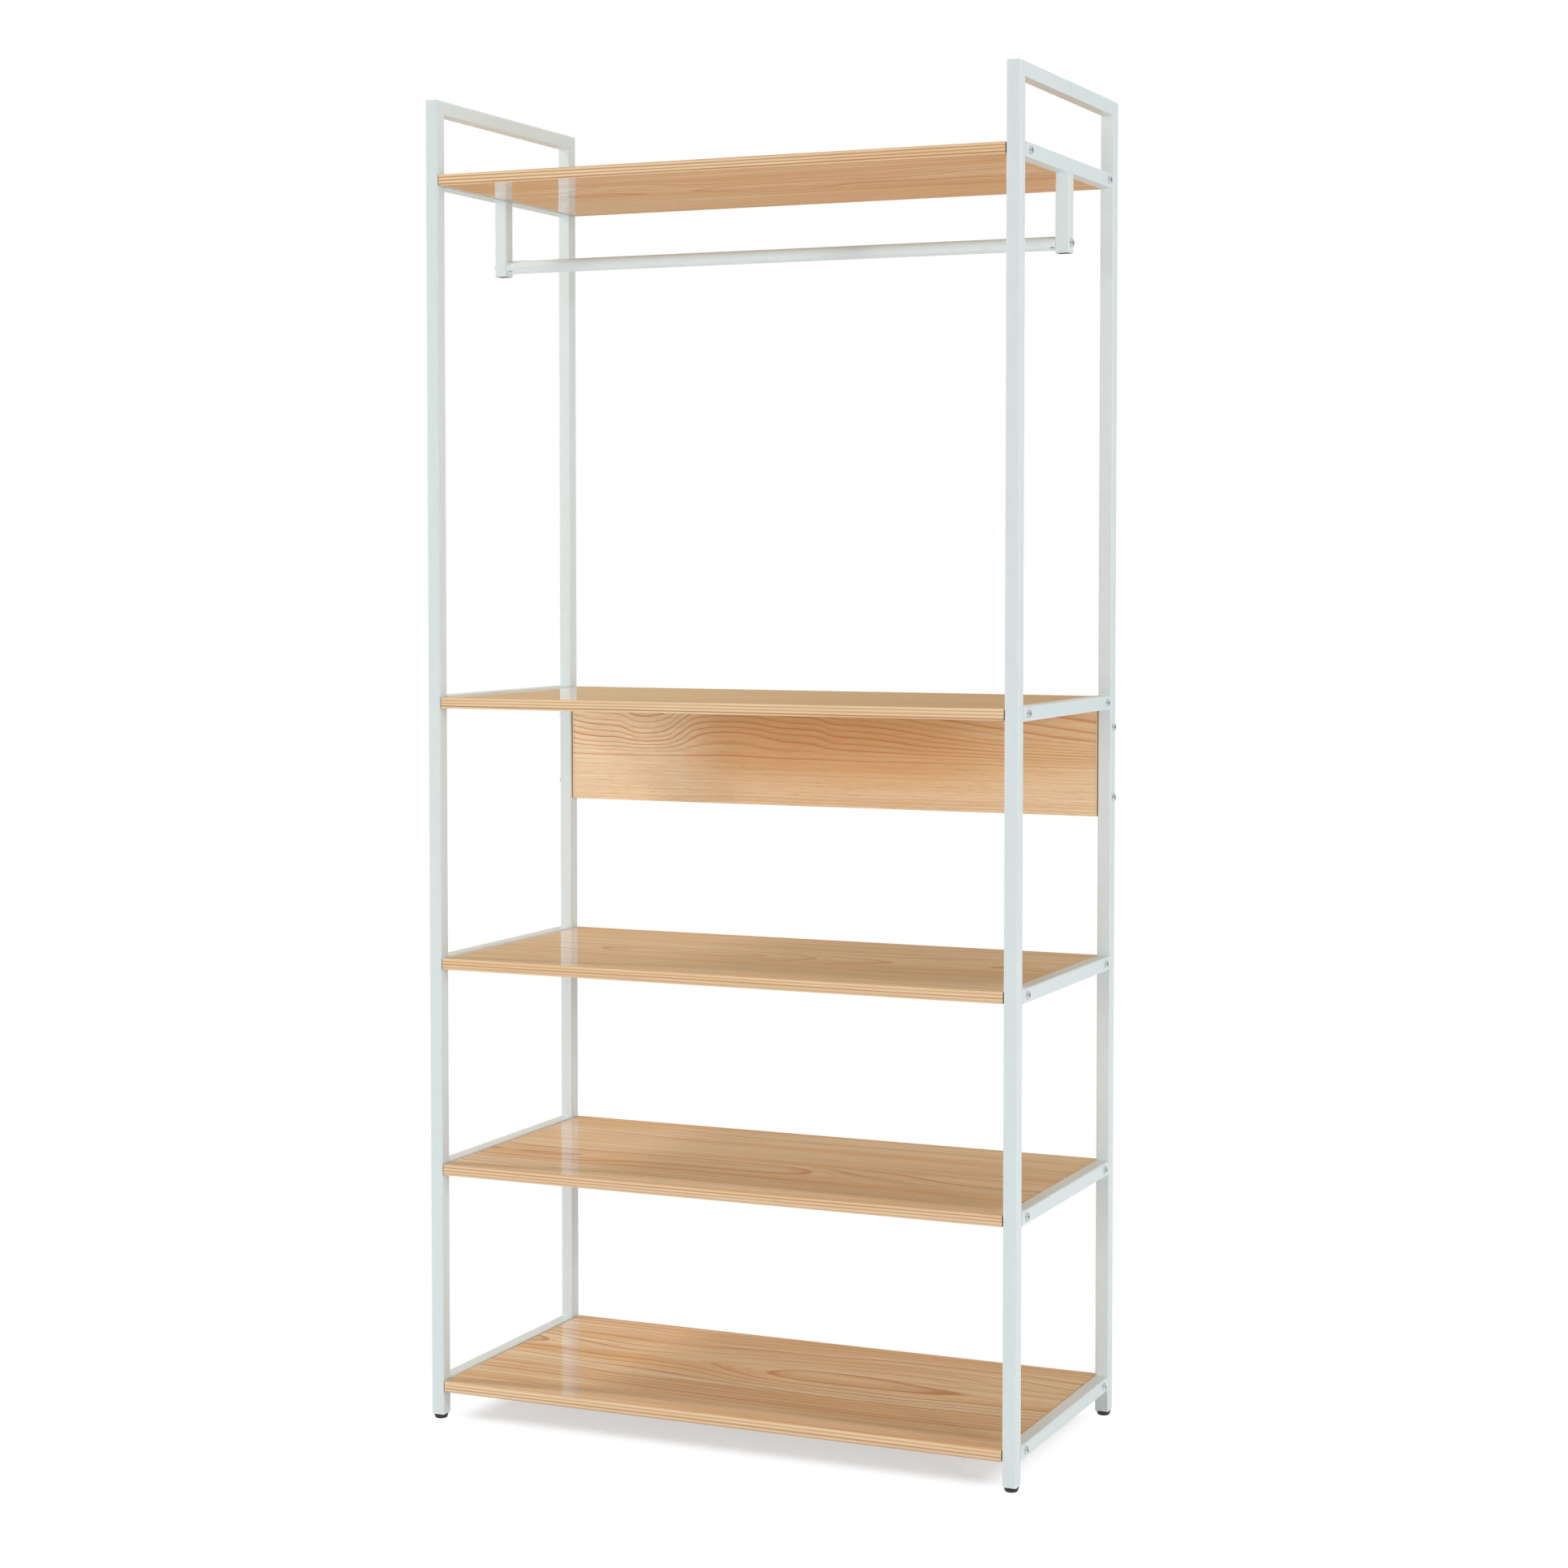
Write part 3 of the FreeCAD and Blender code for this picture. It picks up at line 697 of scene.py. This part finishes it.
def boltMesh(headDiameter, headHeight):
    look = buttonBolt
    count = look["segments"]
    outer = headDiameter / 2
    rim = headHeight * look["rimShare"]
    crown = outer * look["crownShare"]
    flats = headDiameter * look["socketShare"]
    floor = headHeight * (1 - look["socketDepthShare"])
    chamfer = look["countersink"]
    shank = look["shankDiameter"] / 2
    rings = [
        roundRing(shank, -look["shankLength"], count),
        roundRing(shank, 0.0, count),
        roundRing(outer - rim * look["rimInset"], 0.0, count),
        roundRing(outer, rim * look["rimStart"], count),
    ]
    for step in range(look["domeSteps"] + 1):
        bend = math.pi / 2 * step / look["domeSteps"]
        radius = crown + (outer - crown) * math.cos(bend)
        rings.append(roundRing(radius, rim + (headHeight - rim) * math.sin(bend), count))
    rings += [
        hexagonRing(flats + 2 * chamfer, headHeight, count),
        hexagonRing(flats, headHeight - chamfer, count),
        hexagonRing(flats, floor, count),
        roundRing(flats * look["drillShare"], floor - chamfer, count),
    ]
    return ringsMesh(rings)


def newTree(name, sockets):
    tree = bpy.data.node_groups.new(name, "GeometryNodeTree")
    tree.interface.new_socket("Geometry", in_out="INPUT", socket_type="NodeSocketGeometry")
    made = {}
    for label, kind in sockets.items():
        made[label] = tree.interface.new_socket(label, in_out="INPUT", socket_type=f"NodeSocket{kind}")
    tree.interface.new_socket("Geometry", in_out="OUTPUT", socket_type="NodeSocketGeometry")
    return tree, made, tree.nodes.new("NodeGroupInput").outputs


def finishTree(tree, geometry, finish):
    realized = addNode(tree, "GeometryNodeRealizeInstances", {0: geometry}).outputs[0]
    painted = addNode(tree, "GeometryNodeSetMaterial", {"Geometry": realized, "Material": finish})
    addNode(tree, "NodeGroupOutput", {0: painted.outputs[0]})


def bakeNodes(name, source, tree, sockets, values, replaced=()):
    carrier = bpy.data.objects.new(f"{name}_points", source)
    bpy.context.scene.collection.objects.link(carrier)
    modifier = carrier.modifiers.new(name, "NODES")
    modifier.node_group = tree
    for label, value in values.items():
        modifier[sockets[label].identifier] = value
    bpy.context.view_layer.update()
    evaluated = carrier.evaluated_get(bpy.context.evaluated_depsgraph_get())
    mesh = bpy.data.meshes.new_from_object(evaluated)
    mesh.name = name
    bpy.data.objects.remove(carrier)
    addPiece(name, mesh, "frame", replaced)


def seatLevels(low, high, headDiameter):
    if high - low < 2 * headDiameter:  # all in one row
        return [(low + high) / 2]
    return [low + headDiameter / 2, high - headDiameter / 2]


def boltSeats(boltNodes):
    low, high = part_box("rail_bolts")
    headDiameter = high.y - low.y
    headHeight = high.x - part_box("right_drop_post")[1].x
    seats = []
    for name in boltNodes:
        low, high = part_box(name)
        rows = seatLevels(low.y, high.y, headDiameter)
        levels = seatLevels(low.z, high.z, headDiameter)
        for sign, x in ((-1, low.x + headHeight), (1, high.x - headHeight)):
            seats += [(Vector((x, y, z)), sign) for y in rows for z in levels]
    return seats, headDiameter, headHeight


def scatterBolts():
    boltNodes = [f"{board}_bolts" for board in boards] + ["rail_bolts"]
    seats, headDiameter, headHeight = boltSeats(boltNodes)
    master = meshPiece("bolt_master", boltMesh(headDiameter, headHeight))
    points = bpy.data.meshes.new("bolt_points")
    points.from_pydata([place for place, _ in seats], [], [])
    outward = points.attributes.new("outward", "FLOAT_VECTOR", "POINT")
    for item, (_, sign) in zip(outward.data, seats):
        item.vector = (sign, 0, 0)
    tree, sockets, start = newTree("boltsOnSeats", {
        "Bolt": "Object",
        "Turn seed": "Int",
        "Finish": "Material",
    })
    bolt = addNode(tree, "GeometryNodeObjectInfo", {"Object": start["Bolt"]})
    facing = addNode(tree, "GeometryNodeInputNamedAttribute", {"Name": "outward"}, data_type="FLOAT_VECTOR")
    aimed = addNode(tree, "FunctionNodeAlignRotationToVector", {"Vector": facing.outputs[0]}, axis="Z")
    chance = {3: 2 * math.pi, "Seed": start["Turn seed"]}
    turn = addNode(tree, "FunctionNodeRandomValue", chance, data_type="FLOAT").outputs[1]
    spin = addNode(tree, "FunctionNodeAxisAngleToRotation", {"Axis": (0, 0, 1), "Angle": turn}).outputs[0]
    turns = {0: aimed.outputs[0], 1: spin}
    turned = addNode(tree, "FunctionNodeRotateRotation", turns, rotation_space="LOCAL")
    placed = addNode(tree, "GeometryNodeInstanceOnPoints", {
        "Points": start["Geometry"],
        "Instance": bolt.outputs["Geometry"],
        "Rotation": turned.outputs[0],
    })
    finishTree(tree, placed.outputs[0], start["Finish"])
    values = {"Bolt": master, "Turn seed": buttonBolt["turnSeed"], "Finish": brightZinc}
    bakeNodes("frame_bolts", points, tree, sockets, values, boltNodes)
    bpy.data.objects.remove(master)
    return len(seats)


print("bolts scattered:", scatterBolts())


# painted weld beads in the inner corners of the side frames

weldBead = {
    "radius": 0.0017,
    "endInset": 0.0022,
    "endPower": 0.35,          # the lower, the blunter the ends
    "leastWidth": 0.9,
    "ripple": 0.22,
    "rippleScale": 520.0,
    "steps": 14,
    "sides": 12,
    "pointReach": 0.00001,     # points this near one another at a bead's ends become one
    "seed": 4.0,
}


def weldLines():
    inset = weldBead["endInset"]
    lines = []

    def addLine(box, y, z):
        low, high = box
        lines.append((Vector((low.x + inset, y, z)), Vector((high.x - inset, y, z))))

    for side in sides:
        for shelf in shelves:
            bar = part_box(f"{side}_{shelf}_crossbar")
            for y in (bar[0].y, bar[1].y):
                for z in (bar[0].z, bar[1].z):
                    addLine(bar, y, z)
        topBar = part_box(f"{side}_top_bar")
        addLine(topBar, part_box(f"{side}_front_upright")[1].y, topBar[0].z)
        addLine(topBar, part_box(f"{side}_rear_upright")[0].y, topBar[0].z)
        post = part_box(f"{side}_drop_post")
        for y in (post[0].y, post[1].y):
            addLine(post, y, post[1].z)
    return lines


def layWelds():
    look = weldBead
    lines = weldLines()
    points = [point for line in lines for point in line]
    source = bpy.data.meshes.new("weld_lines")
    source.from_pydata(points, [(index, index + 1) for index in range(0, len(points), 2)], [])
    tree, sockets, start = newTree("weldBeads", {
        "Radius": "Float",
        "Ripple": "Float",
        "Ripple scale": "Float",
        "Seed": "Float",
        "Finish": "Material",
    })
    curve = addNode(tree, "GeometryNodeMeshToCurve", {0: start["Geometry"]})
    steps = addNode(tree, "GeometryNodeResampleCurve", {"Curve": curve.outputs[0], "Count": look["steps"]})
    factor = addNode(tree, "GeometryNodeSplineParameter").outputs["Factor"]
    swell = calc(tree, "SINE", calc(tree, "MULTIPLY", factor, math.pi))
    swell = calc(tree, "POWER", swell, look["endPower"])
    inputs = {"W": start["Seed"], "Scale": start["Ripple scale"]}
    wobble = addNode(tree, "ShaderNodeTexNoise", inputs, noise_dimensions="4D").outputs[0]
    width = calc(tree, "MULTIPLY_ADD", wobble, start["Ripple"], look["leastWidth"])
    circle = {"Resolution": look["sides"], "Radius": start["Radius"]}
    profile = addNode(tree, "GeometryNodeCurvePrimitiveCircle", circle)
    bead = addNode(tree, "GeometryNodeCurveToMesh", {
        "Curve": steps.outputs[0],
        "Profile Curve": profile.outputs[0],
        "Scale": calc(tree, "MULTIPLY", swell, width),
        "Fill Caps": True,
    })
    ends = {"Geometry": bead.outputs[0], "Distance": look["pointReach"]}
    pointed = addNode(tree, "GeometryNodeMergeByDistance", ends)
    finishTree(tree, pointed.outputs[0], start["Finish"])
    values = {
        "Radius": look["radius"],
        "Ripple": look["ripple"],
        "Ripple scale": look["rippleScale"],
        "Seed": look["seed"],
        "Finish": whiteCoat,
    }
    bakeNodes("weld_beads", source, tree, sockets, values)
    return len(lines)


print("weld beads laid:", layWelds())


# screw feet: white collars, moulded pads, and studs with a real thread

footCollar = {                 # rim of the white insert, below the end of the tube
    "height": 0.0016,
    "gap": 0.0001,
    "arris": 0.0003,
    "cornerRadius": 0.002,
    "cornerSteps": 6,
    "bore": 0.0047,
}
footPad = {
    "segments": 56,
    "bottomShare": 0.86,       # width at the floor, as a share of the top's
    "footRound": 0.0017,
    "footSteps": 6,
    "groove": 0.0004,          # below the lip
    "grooveRise": 0.5,
    "lipHeight": 0.0011,
    "lipRound": 0.0005,
    "lipStart": (0.4, 0.6),    # rounding of the lip's lower edge, in and up, as shares of lipRound
    "lipShoulder": 0.3,        # middle of its upper rounding, in and down
    "underShare": 0.75,        # face under the pad, as a share of the stud's head
    "recess": (0.72, 0.70),    # recess round the stud, at the top and at its floor
}
screwThread = {
    "radius": 0.004,
    "headHeight": 0.002,
    "pitch": 0.00125,
    "depth": 0.0007,
    "segments": 24,
    "stepsInTurn": 4,
    "lead": 0.0015,
    "tipShare": 0.8,
}


def squareRing(half, cornerRadius, height):
    ring = []
    steps = footCollar["cornerSteps"]
    inner = half - cornerRadius
    for quarter in range(4):
        heading = math.pi / 2 * quarter
        centre = Matrix.Rotation(heading, 3, "Z") @ Vector((inner, inner, height))
        for step in range(steps + 1):
            angle = heading + math.pi / 2 * step / steps
            ring.append(centre + cornerRadius * Vector((math.cos(angle), math.sin(angle), 0)))
    return ring


def boreRing(ring, radius):
    return [Vector((*(point.to_2d().normalized() * radius), point.z)) for point in ring]


def standOn(bm, centre, height=0.0):
    bmesh.ops.translate(bm, vec=Vector((centre.x, centre.y, height)), verts=bm.verts)
    bmesh.ops.recalc_face_normals(bm, faces=bm.faces)


def collarPiece(corner):
    look = footCollar
    low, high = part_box(f"{corner}_upright")
    half = (high.x - low.x) / 2
    base = low.z - look["height"]
    arris = look["arris"]
    outline = [
        squareRing(half - arris, look["cornerRadius"] - arris, base),
        squareRing(half, look["cornerRadius"], base + arris),
        squareRing(half, look["cornerRadius"], low.z),
    ]
    top = boreRing(outline[-1], look["bore"])
    bm = ringsMesh([top, boreRing(outline[0], look["bore"]), *outline, top], closed=False)
    bmesh.ops.remove_doubles(bm, verts=bm.verts, dist=sameSpot)
    standOn(bm, (low + high) / 2)
    meshPiece(f"{corner}_foot_collar", bm, whitePlastic, "frame")


def padPiece(corner):
    look = footPad
    node = f"{corner}_foot_pad"
    low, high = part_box(node)
    studLow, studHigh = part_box(f"{corner}_foot_stud")
    bore = (studHigh.x - studLow.x) / 2
    top = (high.x - low.x) / 2
    bottom = top * look["bottomShare"]
    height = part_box(f"{corner}_upright")[0].z - footCollar["height"] - footCollar["gap"] - low.z
    lip = height - look["lipHeight"]
    turn = look["lipRound"]
    groove = look["groove"]
    footRound = look["footRound"]
    shoulder = lip - groove
    neck = bottom + (top - bottom) / (height - footRound) * (shoulder - footRound)
    startIn, startUp = look["lipStart"]
    bevel = turn * look["lipShoulder"]
    recessTop, recessFloor = look["recess"]
    outline = [(bore * look["underShare"], 0.0)]
    for step in range(look["footSteps"] + 1):
        bend = math.pi / 2 * step / look["footSteps"]
        outline.append((bottom - footRound * (1 - math.sin(bend)), footRound * (1 - math.cos(bend))))
    outline += [
        (neck, shoulder),
        (neck - groove, shoulder + groove * look["grooveRise"]),
        (top - turn * startIn, lip),
        (top, lip + turn * startUp),
        (top, height - turn),
        (top - bevel, height - bevel),
        (top - turn, height),
        (bore * recessTop, height),
        (bore * recessFloor, lip),
    ]
    bm = ringsMesh([roundRing(radius, z, look["segments"]) for radius, z in outline])
    standOn(bm, (low + high) / 2, low.z)
    meshPiece(f"{corner}_moulded_pad", bm, blackPlastic, f"{corner}_pad", [node])


def studPiece(corner):
    look = screwThread
    node = f"{corner}_foot_stud"
    low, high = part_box(node)
    headRadius = (high.x - low.x) / 2
    inner = look["radius"] - look["depth"]
    count = look["segments"]
    headTop = low.z + look["headHeight"]
    rings = [
        roundRing(headRadius, low.z, count),
        roundRing(headRadius, headTop, count),
        roundRing(inner, headTop, count),
    ]
    stepHeight = look["pitch"] / look["stepsInTurn"]
    steps = int((high.z - headTop - look["lead"]) / stepHeight)
    for step in range(1, steps + 1):
        radii = []
        for index in range(count):
            phase = (step / look["stepsInTurn"] - index / count) % 1.0
            radii.append(inner + look["depth"] * (1 - abs(2 * phase - 1)))
        rings.append(ringOf(radii, headTop + step * stepHeight))
    rings.append(roundRing(inner, headTop + (steps + 1) * stepHeight, count))
    rings.append(roundRing(inner * look["tipShare"], high.z, count))
    bm = ringsMesh(rings)
    standOn(bm, (low + high) / 2)
    meshPiece(f"{corner}_threaded_stud", bm, dullZinc, f"{corner}_stud", [node])


for corner in corners:
    collarPiece(corner)
    padPiece(corner)
    studPiece(corner)
print("feet made:", len(corners))


# floor, surround and light

studio = {
    "floorSize": 14.0,
    "floorColour": srgb(234, 237, 242),
    "shadowInset": (0.075, 0.05),  # how far inside the frame's sides and front the shadow begins to fade
    "shadowReach": (0.06, 0.05),   # metres over which it fades
    "shadowShare": 0.46,
    "fill": 0.31,              # what the surround gives to the object
    "cardRadius": 5.0,
    "cardHeight": 4.2,
    "cardSegments": 60,
    "brightCard": srgb(200, 174, 138),
    "dimCard": srgb(184, 156, 119),
    "dimming": (-31, -17),     # degrees from straight back, towards the right
    "greyCard": srgb(206, 207, 206),
    "greySector": (12, 150),
    "cardBlend": 18,           # degrees over which one card turns into the other
    "lowCard": srgb(205, 156, 104),
    "lowBlend": (1.10, 1.18),  # heights between which the low card turns into the others
}
lamps = {                      # place, aim, width, height, watts
    "keyBox": ((5.9, -3.54, 1.5), (0, 0, 0.9), 0.5, 1.6, 116),
    "rightBox": ((4.6, -1.1, 2.0), (0, 0, 1.0), 0.7, 2.0, 50),
    "leftBox": ((-3.7, -0.65, 4.2), (0, 0, 0.7), 0.25, 1.0, 108),
    "leftLowBox": ((-4.3, -1.5, 1.2), (0, 0, 0.9), 0.4, 1.2, 30),
    "leftFrontBox": ((-4.0, -6.5, 1.5), (0, 0, 1.0), 2.0, 2.0, 132),
    "topBox": ((0.0, 0.3, 4.3), (0, 0.2, 0), 3.0, 2.4, 26),
    "rearBox": ((0.0, 3.5, 3.6), (0, 0, 0.8), 3.0, 1.6, 56),
}


def stageMaterial(name):
    material = bpy.data.materials.new(name)
    material.use_nodes = True
    material.node_tree.nodes.clear()
    return material, material.node_tree


def seenShare(tree):
    rays = addNode(tree, "ShaderNodeLightPath").outputs
    seen = calc(tree, "MAXIMUM", rays["Is Camera Ray"], rays["Is Glossy Ray"])
    return calc(tree, "MAXIMUM", seen, rays["Is Transmission Ray"])


def addFloor():
    edge = studio["floorSize"] / 2
    mesh = bpy.data.meshes.new("floor")
    rim = [(-edge, -edge, 0), (edge, -edge, 0), (edge, edge, 0), (-edge, edge, 0)]
    mesh.from_pydata(rim, [], [(0, 1, 2, 3)])
    material, tree = stageMaterial("studio_floor")
    insetBeside, insetBefore = studio["shadowInset"]
    beside, before = studio["shadowReach"]
    half = (cadBox[1].x - insetBeside, cadBox[1].y - insetBefore, 0)
    spread = calcVector(tree, "ABSOLUTE", objectPlace(tree))[0]
    beyond = calcVector(tree, "SUBTRACT", spread, half)[0]
    beyond = calcVector(tree, "MAXIMUM", beyond)[0]
    beyond = stretched(tree, beyond, (1 / beside, 1 / before, 0))
    reach = calcVector(tree, "LENGTH", beyond)["Value"]
    shadow = between(tree, reach, 0.0, 1.0, studio["shadowShare"], 0.0)
    white = calc(tree, "MULTIPLY", seenShare(tree), calc(tree, "SUBTRACT", 1.0, shadow))
    lit = addNode(tree, "ShaderNodeBsdfDiffuse", {"Color": studio["floorColour"]}).outputs[0]
    clear = addNode(tree, "ShaderNodeBsdfTransparent").outputs[0]  # shows the white world, and lowered pads
    mixed = addNode(tree, "ShaderNodeMixShader", {0: white, 1: lit, 2: clear})
    addNode(tree, "ShaderNodeOutputMaterial", {"Surface": mixed.outputs[0]})
    mesh.materials.append(material)
    floor = bpy.data.objects.new("floor", mesh)
    bpy.context.scene.collection.objects.link(floor)


def addCards():  # a ring that only reflections see
    count = studio["cardSegments"]
    rings = [roundRing(studio["cardRadius"], height, count) for height in (0.0, studio["cardHeight"])]
    material, tree = stageMaterial("cards")
    cards = meshPiece("cards", ringsMesh(rings, closed=False), material)
    parts = addNode(tree, "ShaderNodeSeparateXYZ", {0: objectPlace(tree)}).outputs
    angle = calc(tree, "ARCTAN2", parts[0], parts[1])
    first, last = [math.radians(edge) for edge in studio["greySector"]]
    blend = math.radians(studio["cardBlend"])
    opening = between(tree, angle, first - blend, first)
    closing = between(tree, angle, last, last + blend, 1.0, 0.0)
    greyShare = calc(tree, "MULTIPLY", opening, closing)
    dimShare = between(tree, angle, *[math.radians(edge) for edge in studio["dimming"]])
    highShare = between(tree, parts[2], *studio["lowBlend"])
    colour = mixColours(tree, dimShare, studio["brightCard"], studio["dimCard"])
    colour = mixColours(tree, highShare, studio["lowCard"], colour)
    colour = mixColours(tree, greyShare, colour, studio["greyCard"])
    glow = addNode(tree, "ShaderNodeEmission", {"Color": colour, "Strength": 1.0})
    addNode(tree, "ShaderNodeOutputMaterial", {"Surface": glow.outputs[0]})
    for ray in ("camera", "diffuse", "transmission", "shadow"):
        setattr(cards, f"visible_{ray}", False)


def addSurround():
    world = bpy.data.worlds.new("studio")
    bpy.context.scene.world = world
    world.use_nodes = True
    tree = world.node_tree
    inputs = {"Value": seenShare(tree), "To Min": studio["fill"], "To Max": 1.0}
    strength = addNode(tree, "ShaderNodeMapRange", inputs)
    background = tree.nodes["Background"]
    background.inputs["Color"].default_value = (1, 1, 1, 1)
    tree.links.new(strength.outputs[0], background.inputs["Strength"])


def addLamp(name, place, aim, width, height, watts):
    lamp = bpy.data.lights.new(name, "AREA")
    lamp.shape = "RECTANGLE"
    lamp.size = width
    lamp.size_y = height
    lamp.energy = watts
    holder = bpy.data.objects.new(name, lamp)
    holder.location = place
    holder.rotation_euler = (Vector(aim) - Vector(place)).to_track_quat("-Z", "Y").to_euler()
    holder.visible_glossy = False
    bpy.context.scene.collection.objects.link(holder)


addFloor()
addCards()
addSurround()
for name, lampSettings in lamps.items():
    addLamp(name, *lampSettings)
print("floor, surround and", len(lamps), "lamps")


# camera at the photograph's viewing angle

photoView = {
    "framePixels": 1932,
    "focalPixels": 3742.0,
    "axisRow": 860.0,          # row of the frame that the lens axis meets
    "position": (1.6836, -3.7875, 1.1771),
    "heading": 23.755,         # degrees from straight back towards the left
    "tilt": -2.561,            # degrees above the horizon
    "sensor": 36.0,
}


def addCamera():
    look = photoView
    camera = bpy.data.cameras.new("photoCamera")
    camera.sensor_width = look["sensor"]
    camera.lens = look["focalPixels"] * look["sensor"] / look["framePixels"]
    camera.shift_y = (look["axisRow"] - look["framePixels"] / 2) / look["framePixels"]
    holder = bpy.data.objects.new("photoCamera", camera)
    holder.location = look["position"]
    holder.rotation_euler = (math.radians(90 + look["tilt"]), 0, math.radians(look["heading"]))
    bpy.context.scene.collection.objects.link(holder)
    bpy.context.scene.camera = holder


addCamera()
bpy.context.scene.view_settings.view_transform = "Standard"

print("scene ready")
